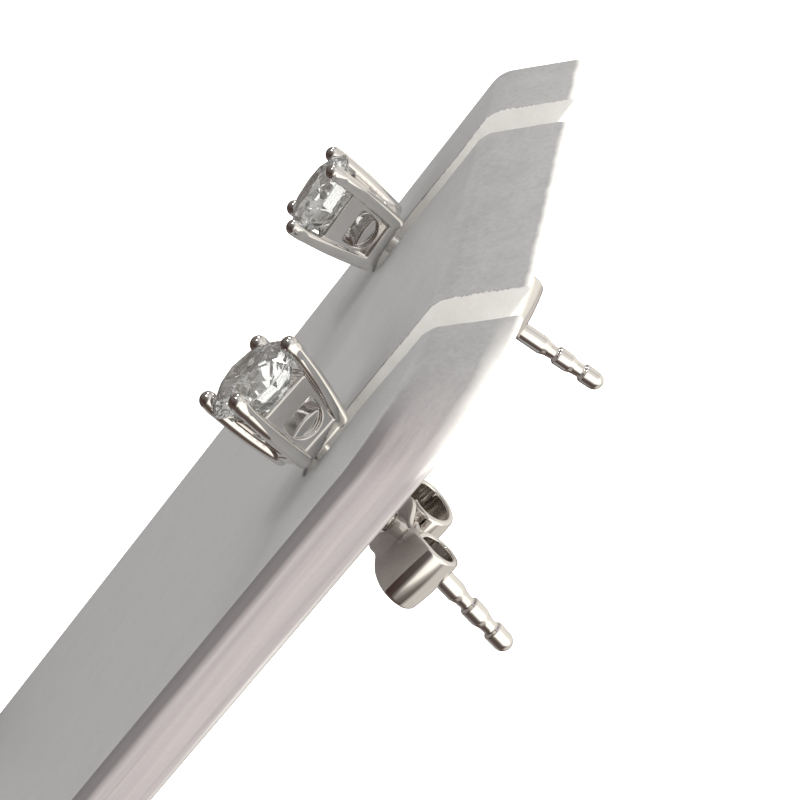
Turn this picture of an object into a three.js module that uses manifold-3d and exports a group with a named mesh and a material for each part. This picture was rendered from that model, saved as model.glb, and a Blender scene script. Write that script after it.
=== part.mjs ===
// A pair of four-prong diamond stud earrings pushed through the two slots of a thin display stand.
// Millimetres, +Z up. The stand's front faces -Y, and the origin is the middle of the foot's underside.
import * as THREE from 'three';
import { mergeVertices } from 'three/addons/utils/BufferGeometryUtils.js';
import Module from 'manifold-3d';

const wasm = await Module();
wasm.setup();

// ---------------------------------------------------------------- driving dimensions
// display stand
const BOARD_W = 27.5;          // width of the board
const BOARD_T = 2.5;           // thickness of the board
const BOARD_LEAN = 12;         // degrees that the board leans back
const POST_LEVEL = 42;         // slot level above the board's foot, along the board
const FOLD_H = 7.25;           // from the post level up to where the sloping top starts
const TOP_COT = 1.1;           // rise of the sloping top for each mm of thickness
const FRONT_R = 0.2;           // rounded long edges of the front
const BACK_R = 0.35;           // rounded long edges of the back
const CREST_R = 0.18;          // rounded top edge of the back
const RIGHT_CORNER_R = 5.0;    // rounded right end of the sloping top
const LEFT_CORNER_R = 0.65;    // and its left end
const SLOT_X = 8.12;           // each slot's distance from the middle
const SLOT_W = 2.07;           // slot width
const SLOT_END_Z = -0.34;      // centre of the slot's round end, from the post level
const HEEL_Y = -8;             // where the board's front face meets the foot's underside
const FOOT_T = 1.6;            // foot plate thickness
const FOOT_D = 28;             // foot plate depth
const FOOT_CORNER = 2;         // corner radius of the foot plate

// setting: z runs from the base plane to the prong tips, the post runs the other way
const POST_R = 0.42;
const POST_L = 11.54;          // base plane to the post's end
const NOTCH_R = 0.30;
const NOTCH_AT = [2.60, 1.17]; // from the post's end
const PRONG_R = 0.31;
const PRONG_BASE = 1.02;       // half the side of the square through the prongs at the base
const PRONG_TIP = 1.495;       // and at the tips
const TIP_Z = 3.76;            // height of the tips' centres
const WALL_T = 0.42;           // thickness of the basket's walls
const RAIL_TOP = 2.62;         // upper edge of the gallery rail
const WINDOW_TOP = 1.86;       // upper edge of the small side windows
const WINDOW_HALF = 0.80;      // half their width
const SILL = 0.76;             // their lowest point
const BASE_PLATE = 0.5;        // where the hollow between the walls starts
const FLOOR_Z = 1.15;          // top of the solid core that fills the hollow's bottom

// stone
const STONE_R = 2.0;
const GIRDLE_Z = 3.46;         // height of the girdle over the base plane
const GIRDLE_T = 0.09;
const TABLE_R = 0.57;          // of the girdle radius
const CROWN_H = 0.28;          // of the girdle radius
const PAVILION_H = 0.86;       // of the girdle radius
const SEAT_GAP = 0.04;         // between stone and prongs

// butterfly ear nut
const NUT_W = 2.5;             // width of the bent strip
const NUT_T = 0.28;            // thickness of the strip
const NUT_HOLE_R = 0.5;
const SCROLL_X = 1.79;         // scroll centre from the post's axis
const SCROLL_Y = 1.08;         // scroll centre behind the plate's middle line
// angle in degrees round the scroll, radius across and radius along the post
const SCROLL = [
  { a: -90, rx: 1.42, ry: 1.08 },
  { a: 0, rx: 1.42, ry: 1.06 },
  { a: 90, rx: 1.25, ry: 1.02 },
  { a: 180, rx: 1.00, ry: 0.82 },
  { a: 270, rx: 0.66, ry: 0.56 },
  { a: 345, rx: 0.44, ry: 0.40 },
];

// where each earring sits: place on the board, lean of the post's axis and turn about it;
// the nut's place along the post, its turn about the post and how far it tips on it
const STUDS = [
  { name: 'left', x: -SLOT_X - 0.05, y: -0.27, z: 0.07, ax: -0.041, az: -0.024, turn: 104.6, nut: 4.37, nutTurn: 46, nutTip: 3.5 },
  { name: 'right', x: SLOT_X + 0.05, y: -0.31, z: -0.07, ax: -0.026, az: -0.288, turn: 134.7, nut: 4.37, nutTurn: 13.5, nutTip: 7 },
];

// ---------------------------------------------------------------- materials
const boardMat = new THREE.MeshStandardMaterial({ color: 0xb4b4b1, roughness: 0.85, metalness: 0 });
const goldMat = () => new THREE.MeshStandardMaterial({ color: 0xd8d4cf, roughness: 0.14, metalness: 1 });
const stoneMat = () => new THREE.MeshStandardMaterial({ color: 0xf2f6f8, roughness: 0.02, metalness: 0 });

// ---------------------------------------------------------------- solids
const rad = THREE.MathUtils.degToRad;

function solid(geometry, matrix) {
  const g = geometry.clone();
  g.deleteAttribute('normal');
  g.deleteAttribute('uv');
  if (matrix) g.applyMatrix4(matrix);
  const m = mergeVertices(g, 1e-5);
  return new wasm.Manifold(new wasm.Mesh({
    numProp: 3,
    vertProperties: new Float32Array(m.attributes.position.array),
    triVerts: new Uint32Array(m.index.array),
  }));
}

function geometryOf(manifold) {
  const mesh = manifold.getMesh();
  const g = new THREE.BufferGeometry();
  g.setAttribute('position', new THREE.BufferAttribute(Float32Array.from(mesh.vertProperties), 3));
  g.setIndex(new THREE.BufferAttribute(Uint32Array.from(mesh.triVerts), 1));
  return g;
}

const move = (x, y, z) => new THREE.Matrix4().makeTranslation(x, y, z);

// rectangle with its own corner radii: front pair and back pair
function roundedRect(x0, y0, x1, y1, rFront, rBack) {
  const s = new THREE.Shape();
  s.moveTo(x0 + rFront, y0);
  s.lineTo(x1 - rFront, y0);
  s.absarc(x1 - rFront, y0 + rFront, rFront, rad(-90), 0, false);
  s.lineTo(x1, y1 - rBack);
  s.absarc(x1 - rBack, y1 - rBack, rBack, 0, rad(90), false);
  s.lineTo(x0 + rBack, y1);
  s.absarc(x0 + rBack, y1 - rBack, rBack, rad(90), rad(180), false);
  s.lineTo(x0, y0 + rFront);
  s.absarc(x0 + rFront, y0 + rFront, rFront, rad(180), rad(270), false);
  return s;
}

// ---------------------------------------------------------------- display stand
const lean = rad(BOARD_LEAN);
const boardLength = POST_LEVEL + FOLD_H + BOARD_T * TOP_COT; // to the top edge at the back face
// the board's own frame: x across, y front to back, z up the board from the post level
const boardFrame = new THREE.Matrix4().makeRotationX(-lean);
boardFrame.setPosition(0, HEEL_Y + POST_LEVEL * Math.sin(lean), POST_LEVEL * Math.cos(lean));

function makeStand() {
  const plan = roundedRect(-BOARD_W / 2, 0, BOARD_W / 2, BOARD_T, FRONT_R, BACK_R);
  const board = solid(new THREE.ExtrudeGeometry(plan, { depth: boardLength, bevelEnabled: false, curveSegments: 5 }),
    move(0, 0, -POST_LEVEL));
  // the sloping top runs from the front face to the back face, and its ends are rounded
  const half = BOARD_W / 2;
  const outline = new THREE.Shape();
  outline.moveTo(-half - 1, -POST_LEVEL - 8);
  outline.lineTo(half + 1, -POST_LEVEL - 8);
  const rr = RIGHT_CORNER_R, rl = LEFT_CORNER_R;
  outline.lineTo(half + 1, FOLD_H - rr);
  outline.lineTo(half, FOLD_H - rr);
  outline.absarc(half - rr, FOLD_H - rr, rr, 0, rad(90), false);
  outline.lineTo(-half + rl, FOLD_H);
  outline.absarc(-half + rl, FOLD_H - rl, rl, rad(90), rad(180), false);
  outline.lineTo(-half - 1, FOLD_H - rl);
  const through = new THREE.Matrix4().makeBasis(
    new THREE.Vector3(1, 0, 0), new THREE.Vector3(0, 0, 1), new THREE.Vector3(0, -1, 0));
  through.setPosition(0, BOARD_T + 1, 0);
  through.premultiply(new THREE.Matrix4().set(1, 0, 0, 0, 0, 1, 0, 0, 0, TOP_COT, 1, 0, 0, 0, 0, 1));
  let result = board.intersect(solid(
    new THREE.ExtrudeGeometry(outline, { depth: BOARD_T + 2, bevelEnabled: false, curveSegments: 10 }), through));
  // rounded edge between the sloping top and the back
  const slope = Math.atan(TOP_COT);
  const corner = rad(90) - slope;
  const reach = CREST_R / Math.tan(corner / 2);
  const low = FOLD_H + BOARD_T * TOP_COT - reach;
  const crest = new THREE.Shape();
  crest.moveTo(BOARD_T + 1, low);
  crest.lineTo(BOARD_T, low);
  crest.absarc(BOARD_T - CREST_R, low, CREST_R, 0, rad(90) + slope, false);
  crest.lineTo(BOARD_T - reach * Math.cos(slope), FOLD_H + BOARD_T * TOP_COT + 2);
  crest.lineTo(BOARD_T + 1, FOLD_H + BOARD_T * TOP_COT + 2);
  const turned = new THREE.Matrix4().makeBasis(
    new THREE.Vector3(0, 1, 0), new THREE.Vector3(0, 0, 1), new THREE.Vector3(1, 0, 0));
  turned.setPosition(-BOARD_W / 2 - 1, 0, 0);
  result = result.subtract(solid(
    new THREE.ExtrudeGeometry(crest, { depth: BOARD_W + 2, bevelEnabled: false, curveSegments: 6 }), turned));
  // two slots, open at the top, with round ends
  for (const side of [-1, 1]) {
    const slot = new THREE.Shape();
    const top = FOLD_H + BOARD_T * TOP_COT + 2;
    slot.moveTo(SLOT_W / 2, top);
    slot.lineTo(-SLOT_W / 2, top);
    slot.lineTo(-SLOT_W / 2, SLOT_END_Z);
    slot.absarc(0, SLOT_END_Z, SLOT_W / 2, rad(180), rad(360), false);
    const m = new THREE.Matrix4().makeBasis(
      new THREE.Vector3(1, 0, 0), new THREE.Vector3(0, 0, 1), new THREE.Vector3(0, -1, 0));
    m.setPosition(side * SLOT_X, BOARD_T + 1, 0);
    result = result.subtract(solid(
      new THREE.ExtrudeGeometry(slot, { depth: BOARD_T + 2, bevelEnabled: false, curveSegments: 8 }), m));
  }
  // stand it on its foot, leaning back
  result = result.transform(Array.from(boardFrame.elements));
  const foot = solid(new THREE.ExtrudeGeometry(
    roundedRect(-BOARD_W / 2, -FOOT_D / 2, BOARD_W / 2, FOOT_D / 2, FOOT_CORNER, FOOT_CORNER),
    { depth: FOOT_T, bevelEnabled: false, curveSegments: 5 }));
  const below = solid(new THREE.BoxGeometry(BOARD_W + 4, 40, 10), move(0, 0, -5));
  return result.subtract(below).add(foot);
}

// ---------------------------------------------------------------- setting
const tipSide = (z) => PRONG_BASE + (PRONG_TIP - PRONG_BASE) * z / TIP_Z;

// square frustum between two heights, by half sides
function frustum(z0, h0, z1, h1) {
  const c = new THREE.CylinderGeometry(h1 * Math.SQRT2, h0 * Math.SQRT2, z1 - z0, 4, 1);
  const m = new THREE.Matrix4().makeRotationY(Math.PI / 4).premultiply(new THREE.Matrix4().makeRotationX(Math.PI / 2));
  m.premultiply(move(0, 0, (z0 + z1) / 2));
  return solid(c, m);
}

function prong(sx, sy) {
  const from = new THREE.Vector3(sx * tipSide(0), sy * tipSide(0), 0);
  const to = new THREE.Vector3(sx * tipSide(TIP_Z), sy * tipSide(TIP_Z), TIP_Z);
  const dir = to.clone().sub(from);
  // rod with a domed end, turned about its own axis
  const length = dir.length();
  const p = [new THREE.Vector2(0, 0), new THREE.Vector2(PRONG_R, 0), new THREE.Vector2(PRONG_R, length)];
  for (const a of [25, 50, 72]) {
    p.push(new THREE.Vector2(PRONG_R * Math.cos(rad(a)), length + PRONG_R * Math.sin(rad(a))));
  }
  p.push(new THREE.Vector2(0, length + PRONG_R));
  const q = new THREE.Quaternion().setFromUnitVectors(new THREE.Vector3(0, 1, 0), dir.normalize());
  return solid(new THREE.LatheGeometry(p, 14), new THREE.Matrix4().compose(from, q, new THREE.Vector3(1, 1, 1)));
}

// window through one side: flat under the rail, rounded towards the base
function windowCut(angle) {
  const shoulder = WINDOW_TOP - 0.4;
  const s = new THREE.Shape();
  s.moveTo(-WINDOW_HALF, WINDOW_TOP);
  s.lineTo(-WINDOW_HALF + 0.03, shoulder);
  s.quadraticCurveTo(-WINDOW_HALF * 0.8, SILL, 0, SILL);
  s.quadraticCurveTo(WINDOW_HALF * 0.8, SILL, WINDOW_HALF - 0.03, shoulder);
  s.lineTo(WINDOW_HALF, WINDOW_TOP);
  const m = new THREE.Matrix4().makeBasis(
    new THREE.Vector3(1, 0, 0), new THREE.Vector3(0, 0, 1), new THREE.Vector3(0, -1, 0));
  m.premultiply(new THREE.Matrix4().makeRotationZ(angle));
  return solid(new THREE.ExtrudeGeometry(s, { depth: 2.2, bevelEnabled: false, curveSegments: 6 }), m);
}

function post() {
  const p = [new THREE.Vector2(0, 0.3), new THREE.Vector2(POST_R, 0.3)];
  const at = (fromEnd, r) => p.push(new THREE.Vector2(r, -(POST_L - fromEnd)));
  at(NOTCH_AT[0] + 0.62, POST_R);
  at(NOTCH_AT[0] + 0.40, NOTCH_R + 0.04);
  at(NOTCH_AT[0] + 0.05, NOTCH_R);
  at(NOTCH_AT[0] - 0.13, POST_R - 0.01);
  at(NOTCH_AT[1] + 0.62, POST_R);
  at(NOTCH_AT[1] + 0.40, NOTCH_R + 0.04);
  at(NOTCH_AT[1] + 0.05, NOTCH_R + 0.01);
  at(NOTCH_AT[1] - 0.14, POST_R);
  at(0.46, POST_R);
  for (const a of [25, 50, 72]) at(0.46 * (1 - Math.sin(rad(a))), POST_R * Math.cos(rad(a)));
  p.push(new THREE.Vector2(0, -POST_L));
  p.reverse();
  return solid(new THREE.LatheGeometry(p, 20), new THREE.Matrix4().makeRotationX(Math.PI / 2));
}

// round brilliant about z, girdle plane at z = 0; grow makes the seat that the prongs are cut to
function brilliant(grow = 0) {
  const R = STONE_R;
  const ring = (r, z, n, offset) => Array.from({ length: n }, (_, i) => {
    const a = 2 * Math.PI * (i + offset) / n;
    return [r * Math.cos(a), r * Math.sin(a), z];
  });
  const crownTop = GIRDLE_T / 2 + CROWN_H * R;
  const points = [];
  const faces = [];
  const add = (list) => { const first = points.length; points.push(...list); return first; };
  const table = add(ring(TABLE_R * R, crownTop, 8, 0));
  const starZ = GIRDLE_T / 2 + CROWN_H * R * 0.46;
  const star = add(ring(0.80 * R, starZ, 8, 0.5));
  const girdleTop = add(ring(R, GIRDLE_T / 2, 16, 0));
  const girdleLow = add(ring(R, -GIRDLE_T / 2, 16, 0));
  const halfZ = -GIRDLE_T / 2 - PAVILION_H * R * 0.765;
  const half = add(ring(0.235 * R, halfZ, 8, 0.5));
  const culet = add([[0, 0, -GIRDLE_T / 2 - PAVILION_H * R]]);
  for (let i = 0; i < 8; i++) {
    const j = (i + 1) % 8;
    const g0 = (2 * i) % 16, g1 = (2 * i + 1) % 16, g2 = (2 * i + 2) % 16;
    faces.push([table + i, table + j, star + i]);
    faces.push([table + i, star + i, girdleTop + g0], [table + j, girdleTop + g2, star + i]);
    faces.push([star + i, girdleTop + g1, girdleTop + g0], [star + i, girdleTop + g2, girdleTop + g1]);
    faces.push([half + i, girdleLow + g0, girdleLow + g1], [half + i, girdleLow + g1, girdleLow + g2]);
    faces.push([culet, girdleLow + g0, half + i], [culet, half + i, girdleLow + g2]);
  }
  for (let i = 1; i < 7; i++) faces.push([table, table + i, table + i + 1]);
  for (let i = 0; i < 16; i++) {
    const j = (i + 1) % 16;
    faces.push([girdleLow + i, girdleLow + j, girdleTop + j], [girdleLow + i, girdleTop + j, girdleTop + i]);
  }
  const scale = 1 + grow / R;
  const g = new THREE.BufferGeometry();
  g.setAttribute('position', new THREE.Float32BufferAttribute(points.flat().map((v) => v * scale), 3));
  // every face turned so that it looks away from the stone's middle
  const centre = new THREE.Vector3(0, 0, -0.2);
  const v = (i) => new THREE.Vector3(...points[i]);
  const index = [];
  for (const [a, b, c] of faces) {
    const n = v(b).sub(v(a)).cross(v(c).sub(v(a)));
    const out = v(a).add(v(b)).add(v(c)).divideScalar(3).sub(centre);
    index.push(...(n.dot(out) > 0 ? [a, b, c] : [a, c, b]));
  }
  g.setIndex(index);
  return g;
}

function makeSetting() {
  const half = (z) => tipSide(z);
  let walls = frustum(0.12, half(0.12) + 0.16, RAIL_TOP, half(RAIL_TOP) + 0.16)
    .subtract(frustum(BASE_PLATE, half(BASE_PLATE) + 0.16 - WALL_T, RAIL_TOP + 1, half(RAIL_TOP + 1) + 0.16 - WALL_T));
  for (let i = 0; i < 4; i++) walls = walls.subtract(windowCut(i * Math.PI / 2));
  const heel = frustum(0, half(0) + 0.04, 0.14, half(0.12) + 0.16);
  const core = frustum(0.3, half(0.3) + 0.18 - WALL_T, FLOOR_Z, half(FLOOR_Z) + 0.18 - WALL_T);
  let metal = walls.add(heel).add(core);
  for (const [x, y] of [[1, 1], [1, -1], [-1, 1], [-1, -1]]) metal = metal.add(prong(x, y));
  metal = metal.add(post());
  return metal.subtract(solid(brilliant(SEAT_GAP), move(0, 0, GIRDLE_Z)));
}

// ---------------------------------------------------------------- ear nut
// strip along x, post along y, strip width along z
function makeNut() {
  const right = [];
  const steps = 44;
  right.push(new THREE.Vector2(0, 0));
  const first = SCROLL[0].a, last = SCROLL[SCROLL.length - 1].a;
  for (let i = 0; i <= steps; i++) {
    const a = first + (last - first) * i / steps;
    let k = 0;
    while (k < SCROLL.length - 2 && SCROLL[k + 1].a < a) k++;
    const f = (a - SCROLL[k].a) / (SCROLL[k + 1].a - SCROLL[k].a);
    const s = f * f * (3 - 2 * f) * 0.5 + f * 0.5;
    const rx = SCROLL[k].rx + (SCROLL[k + 1].rx - SCROLL[k].rx) * s;
    const ry = SCROLL[k].ry + (SCROLL[k + 1].ry - SCROLL[k].ry) * s;
    right.push(new THREE.Vector2(SCROLL_X + rx * Math.cos(rad(a)), SCROLL_Y + ry * Math.sin(rad(a))));
  }
  const left = right.slice(1).map((p) => new THREE.Vector2(-p.x, p.y)).reverse();
  const line = [...left, ...right];
  // both sides of the strip, half its thickness from the middle line
  const side = (sign) => line.map((p, i) => {
    const a = line[Math.max(0, i - 1)], b = line[Math.min(line.length - 1, i + 1)];
    const t = b.clone().sub(a).normalize();
    return new THREE.Vector2(p.x - sign * t.y * NUT_T / 2, p.y + sign * t.x * NUT_T / 2);
  });
  const outline = new THREE.Shape([...side(-1), ...side(1).reverse()]);
  const strip = solid(new THREE.ExtrudeGeometry(outline, { depth: NUT_W, bevelEnabled: false }), move(0, NUT_T / 2, -NUT_W / 2));
  const hole = new THREE.CylinderGeometry(NUT_HOLE_R, NUT_HOLE_R, 6, 24);
  return strip.subtract(solid(hole));
}

// ---------------------------------------------------------------- scene graph
const object = new THREE.Group();

const stand = new THREE.Mesh(geometryOf(makeStand()), boardMat);
stand.name = 'display_stand';
object.add(stand);

const board = new THREE.Group();
board.rotation.x = -lean;
board.position.set(0, HEEL_Y + POST_LEVEL * Math.sin(lean), POST_LEVEL * Math.cos(lean));
object.add(board);

const settingShape = geometryOf(makeSetting());
const nutShape = geometryOf(makeNut());

for (const stud of STUDS) {
  const place = new THREE.Group();
  place.position.set(stud.x, stud.y, stud.z);
  board.add(place);

  // the post's axis, front to back; the stone looks the other way
  const a = new THREE.Vector3(stud.ax, 1, stud.az).normalize();
  const e = new THREE.Vector3(1, 0, 0).addScaledVector(a, -a.x).normalize();
  const g = new THREE.Vector3().crossVectors(e, a);
  const t = rad(stud.turn);
  const e1 = e.clone().multiplyScalar(Math.cos(t)).addScaledVector(g, Math.sin(t));
  const front = a.clone().negate();

  const head = new THREE.Group();
  head.quaternion.setFromRotationMatrix(new THREE.Matrix4().makeBasis(
    e1, new THREE.Vector3().crossVectors(front, e1), front));
  place.add(head);

  const setting = new THREE.Mesh(settingShape, goldMat());
  setting.name = `setting_${stud.name}`;
  head.add(setting);

  const stone = new THREE.Mesh(brilliant(), stoneMat());
  stone.name = `diamond_${stud.name}`;
  stone.position.z = GIRDLE_Z;
  head.add(stone);

  // the nut's scrolls look backwards, and it tips a little in the play of its hole
  const nutGroup = new THREE.Group();
  const n = rad(stud.nutTurn);
  const nx = e.clone().multiplyScalar(Math.cos(n)).addScaledVector(g, Math.sin(n));
  nutGroup.quaternion.setFromRotationMatrix(new THREE.Matrix4().makeBasis(
    nx, a, new THREE.Vector3().crossVectors(nx, a)));
  nutGroup.quaternion.premultiply(new THREE.Quaternion().setFromAxisAngle(e, rad(stud.nutTip)));
  nutGroup.position.copy(a).multiplyScalar(stud.nut);
  place.add(nutGroup);
  const nut = new THREE.Mesh(nutShape, goldMat());
  nut.name = `ear_nut_${stud.name}`;
  nutGroup.add(nut);
}

export default object;
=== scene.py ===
import math
import bpy
import numpy as np
from mathutils import Matrix, Vector


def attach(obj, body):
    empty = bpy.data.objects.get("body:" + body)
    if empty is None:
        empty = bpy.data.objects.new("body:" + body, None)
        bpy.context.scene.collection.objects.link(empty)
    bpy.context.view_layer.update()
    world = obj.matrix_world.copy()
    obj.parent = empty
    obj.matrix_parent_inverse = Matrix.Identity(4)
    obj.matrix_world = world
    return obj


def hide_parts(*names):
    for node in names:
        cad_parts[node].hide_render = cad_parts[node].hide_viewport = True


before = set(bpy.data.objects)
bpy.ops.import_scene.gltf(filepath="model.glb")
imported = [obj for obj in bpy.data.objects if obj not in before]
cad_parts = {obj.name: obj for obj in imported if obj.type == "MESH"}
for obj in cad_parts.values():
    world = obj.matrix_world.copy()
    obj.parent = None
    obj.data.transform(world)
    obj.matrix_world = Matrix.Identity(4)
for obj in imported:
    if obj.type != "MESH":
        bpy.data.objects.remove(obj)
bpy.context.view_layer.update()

MM = 0.001
rad = math.radians

# ---------------------------------------------------------------- the part's own dimensions, in millimetres
BOARD_W, BOARD_T, BOARD_LEAN, POST_LEVEL = 27.5, 2.5, 12.0, 42.0
FOLD_H, TOP_COT = 7.25, 1.1
FRONT_R, BACK_R, CREST_R, RIGHT_CORNER_R, LEFT_CORNER_R = 0.20, 0.35, 0.18, 5.0, 0.65
SLOT_X, SLOT_W, SLOT_END_Z = 8.12, 2.07, -0.34
HEEL_Y, FOOT_T, FOOT_D, FOOT_CORNER = -8.0, 1.6, 28.0, 2.0
POST_R, POST_L = 0.42, 11.54
PRONG_R, PRONG_BASE, PRONG_TIP, TIP_Z = 0.31, 1.02, 1.495, 3.76
WALL_T, RAIL_TOP, WINDOW_TOP, WINDOW_HALF, SILL, BASE_PLATE, FLOOR_Z = 0.42, 2.62, 1.80, 0.80, 0.76, 0.50, 1.15
STONE_R, GIRDLE_Z, GIRDLE_T = 2.0, 3.46, 0.09
TABLE_R, CROWN_H, PAVILION_H = 0.57, 0.28, 0.86
NUT_T, NUT_HOLE_R, SCROLL_X, SCROLL_Y = 0.28, 0.50, 1.79, 1.08
STUDS = {
    "left": dict(x=-SLOT_X - 0.05, y=-0.27, z=0.07, ax=-0.041, az=-0.024, turn=104.6, nut=4.37, nut_turn=46.0, nut_tip=3.5),
    "right": dict(x=SLOT_X + 0.05, y=-0.31, z=-0.07, ax=-0.026, az=-0.288, turn=134.7, nut=4.37, nut_turn=13.5, nut_tip=7.0),
}

# ---------------------------------------------------------------- frames
lean = rad(BOARD_LEAN)
cos_l, sin_l = math.cos(lean), math.sin(lean)
BOARD = np.array([  # board frame to the part's frame
    [1, 0, 0, 0],
    [0, cos_l, sin_l, HEEL_Y + POST_LEVEL * sin_l],
    [0, -sin_l, cos_l, POST_LEVEL * cos_l],
    [0, 0, 0, 1.0]])


def frame_of(x, y, z, origin):
    m = np.eye(4)
    m[:3, 0], m[:3, 1], m[:3, 2], m[:3, 3] = x, y, z, origin
    return m


def unit(v):
    v = np.asarray(v, float)
    return v / np.linalg.norm(v)


def stud_frames(s):
    a = unit([s["ax"], 1, s["az"]])
    e = unit(np.array([1, 0, 0]) - a[0] * a)
    g = np.cross(e, a)
    t = rad(s["turn"])
    e1 = e * math.cos(t) + g * math.sin(t)
    place = np.array([s["x"], s["y"], s["z"]])
    head = BOARD @ frame_of(e1, np.cross(-a, e1), -a, place)
    n = rad(s["nut_turn"])
    nx = e * math.cos(n) + g * math.sin(n)
    r = np.array(Matrix.Rotation(rad(s["nut_tip"]), 3, Vector(e)))
    nut = BOARD @ frame_of(r @ nx, r @ a, r @ np.cross(nx, a), place + a * s["nut"])
    return head, nut


def to_matrix(m):
    m = m.copy()
    m[:3, 3] *= MM
    return Matrix(m.tolist())


# ---------------------------------------------------------------- distance fields
def smin(a, b, k):
    h = np.clip(0.5 + 0.5 * (b - a) / k, 0, 1)
    return b + (a - b) * h - k * h * (1 - h)


def smax(a, b, k):
    return -smin(-a, -b, k)


def round_max(a, b, r):
    """intersection whose edge is a quarter circle of radius r"""
    return np.minimum(-r, np.maximum(a, b)) + np.hypot(np.maximum(a + r, 0), np.maximum(b + r, 0))


def smoothstep(a, b, x):
    t = np.clip((x - a) / (b - a), 0, 1)
    return t * t * (3 - 2 * t)


def surface(f, xs, ys, zs, settle=3):
    """Closed quad mesh of f = 0 (f negative inside) on a grid with its own spacing along each axis, with
    every point moved onto the surface. Returns points, quads and the surface's normals."""
    axes = [np.asarray(c, float) for c in (xs, ys, zs)]
    n = [len(c) for c in axes]
    field = np.empty(n, np.float32)
    step = max(1, int(1.5e6 // (n[1] * n[2])))
    for i in range(0, n[0], step):
        field[i:i + step] = f(*np.meshgrid(axes[0][i:i + step], axes[1], axes[2], indexing="ij"))
    inside = field < 0
    ids, sums, quads = [], [], []
    for ax in range(3):
        low, high = [slice(None)] * 3, [slice(None)] * 3
        low[ax], high[ax] = slice(0, -1), slice(1, None)
        a, b = inside[tuple(low)], inside[tuple(high)]
        at = np.argwhere(a != b)
        to = at.copy()
        to[:, ax] += 1
        v0, v1 = field[tuple(at.T)].astype(float), field[tuple(to.T)].astype(float)
        p = np.stack([axes[c][at[:, c]] for c in range(3)], 1)
        p[:, ax] += (axes[ax][to[:, ax]] - p[:, ax]) * (v0 / (v0 - v1))
        b1, b2 = ((1, 2), (2, 0), (0, 1))[ax]
        ring = []
        for d1, d2 in ((-1, -1), (0, -1), (0, 0), (-1, 0)):
            c = at.copy()
            c[:, b1] += d1
            c[:, b2] += d2
            ring.append((c[:, 0] * (n[1] - 1) + c[:, 1]) * (n[2] - 1) + c[:, 2])
            ids.append(ring[-1])
            sums.append(p)
        q = np.stack(ring, 1)
        away = ~a[tuple(at.T)]
        q[away] = q[away][:, ::-1]
        quads.append(q)
    names, where = np.unique(np.concatenate(ids), return_inverse=True)
    sums = np.concatenate(sums)
    count = np.bincount(where)
    v = np.stack([np.bincount(where, sums[:, c]) / count for c in range(3)], 1)
    faces = np.searchsorted(names, np.concatenate(quads))

    def gradient(v, h=0.004):
        g = np.empty_like(v)
        for c in range(3):
            d = np.zeros(3)
            d[c] = h
            g[:, c] = (f(*(v + d).T) - f(*(v - d).T)) / (2 * h)
        return g
    for _ in range(settle):
        g = gradient(v)
        d = f(*v.T) / np.maximum((g * g).sum(1), 0.3)
        v = v - np.clip(d, -0.05, 0.05)[:, None] * g
    g = gradient(v)
    return v, faces, g / np.linalg.norm(g, axis=1)[:, None]


# ---------------------------------------------------------------- objects
def make_object(name, points, faces, matrix, materials, normals=None, index=None, smooth=True):
    """points in millimetres in the piece's own frame, put in place by matrix"""
    mesh = bpy.data.meshes.new(name)
    points = np.asarray(points, float) * MM
    if isinstance(faces, np.ndarray) and faces.ndim == 2:
        k = faces.shape[1]
        mesh.vertices.add(len(points))
        mesh.vertices.foreach_set("co", points.astype(np.float32).ravel())
        mesh.loops.add(faces.size)
        mesh.loops.foreach_set("vertex_index", faces.astype(np.int32).ravel())
        mesh.polygons.add(len(faces))
        mesh.polygons.foreach_set("loop_start", np.arange(0, faces.size, k, dtype=np.int32))
        mesh.update(calc_edges=True)
    else:
        mesh.from_pydata([tuple(p) for p in points], [], [tuple(int(i) for i in fc) for fc in faces])
    mesh.validate()
    mesh.polygons.foreach_set("use_smooth", np.full(len(mesh.polygons), smooth))
    for m in materials:
        mesh.materials.append(m)
    if index is not None:
        mesh.polygons.foreach_set("material_index", np.asarray(index, np.int32))
    mesh.update()
    if normals is not None:
        mesh.normals_split_custom_set_from_vertices([tuple(n) for n in normals])
    o = bpy.data.objects.new(name, mesh)
    bpy.context.scene.collection.objects.link(o)
    o.matrix_world = to_matrix(matrix)
    return o


def spaced(*parts):
    """grid lines from pieces of (start, end, step), joined"""
    out = []
    for a, b, step in parts:
        k = max(1, int(round((b - a) / step)))
        line = np.linspace(a, b, k + 1)
        out.append(line if not out else line[1:])
    return np.concatenate(out)


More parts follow.
